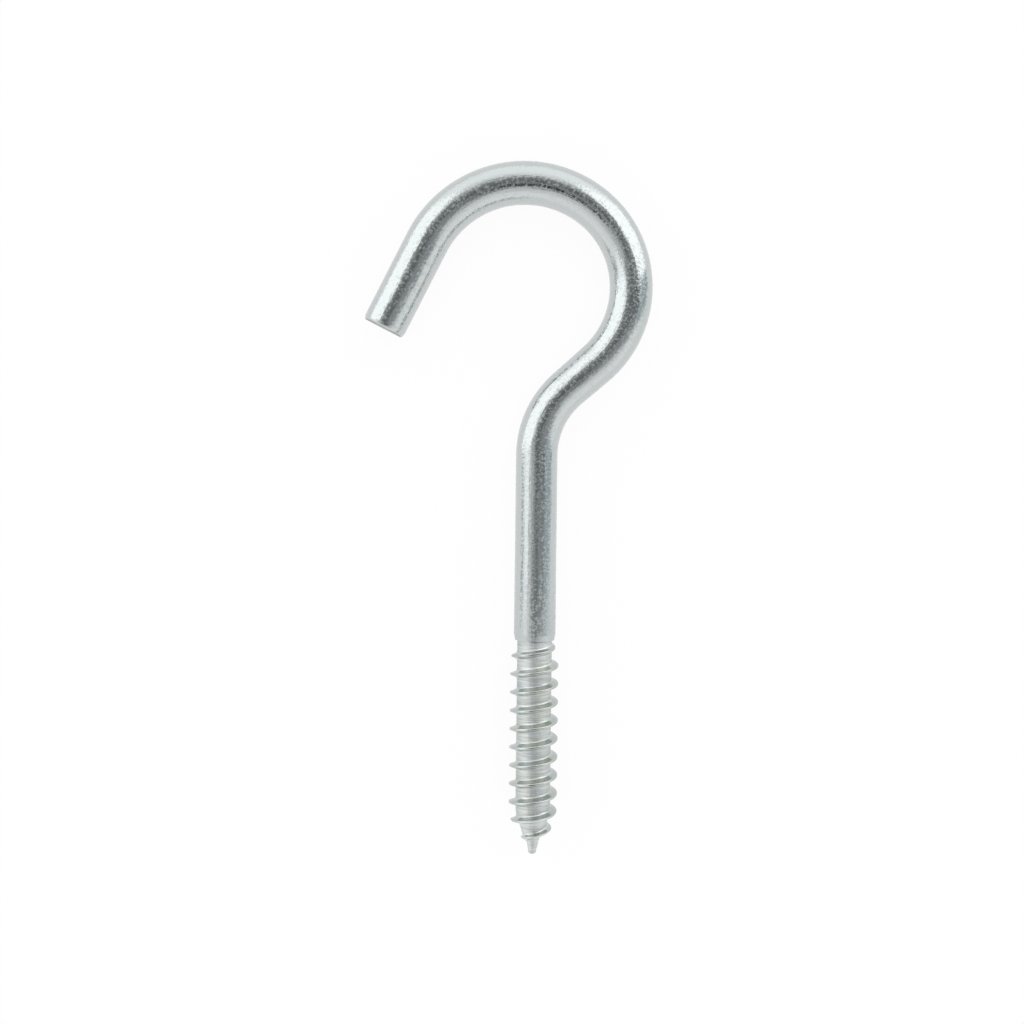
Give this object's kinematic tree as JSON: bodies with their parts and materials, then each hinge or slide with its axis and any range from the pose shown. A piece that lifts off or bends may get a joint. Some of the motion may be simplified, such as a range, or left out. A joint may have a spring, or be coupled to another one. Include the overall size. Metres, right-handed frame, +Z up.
{
  "type": "screw hook",
  "caption": "Steel wire bent into an open round hook, on a straight shank that ends in a coarse right-hand wood thread with a point.",
  "frame": {"origin": "on the screw's axis, at the shoulder where the shank ends and the threaded core starts", "axes": "+Y along the screw's axis from the point to the hook, +X away from the hook's open mouth, +Z up from the surface that the hook lies on, square to the plane of the hook"},
  "size_m": [0.0413, 0.1, 0.007],
  "materials": {
    "zinc_plated_steel": "bright zinc plate on drawn and rolled steel wire, finely pitted, with faint rolling lines on the thread's core"
  },
  "bodies": {
    "root": {"screw_hook": "zinc_plated_steel"}
  },
  "joints": []
}
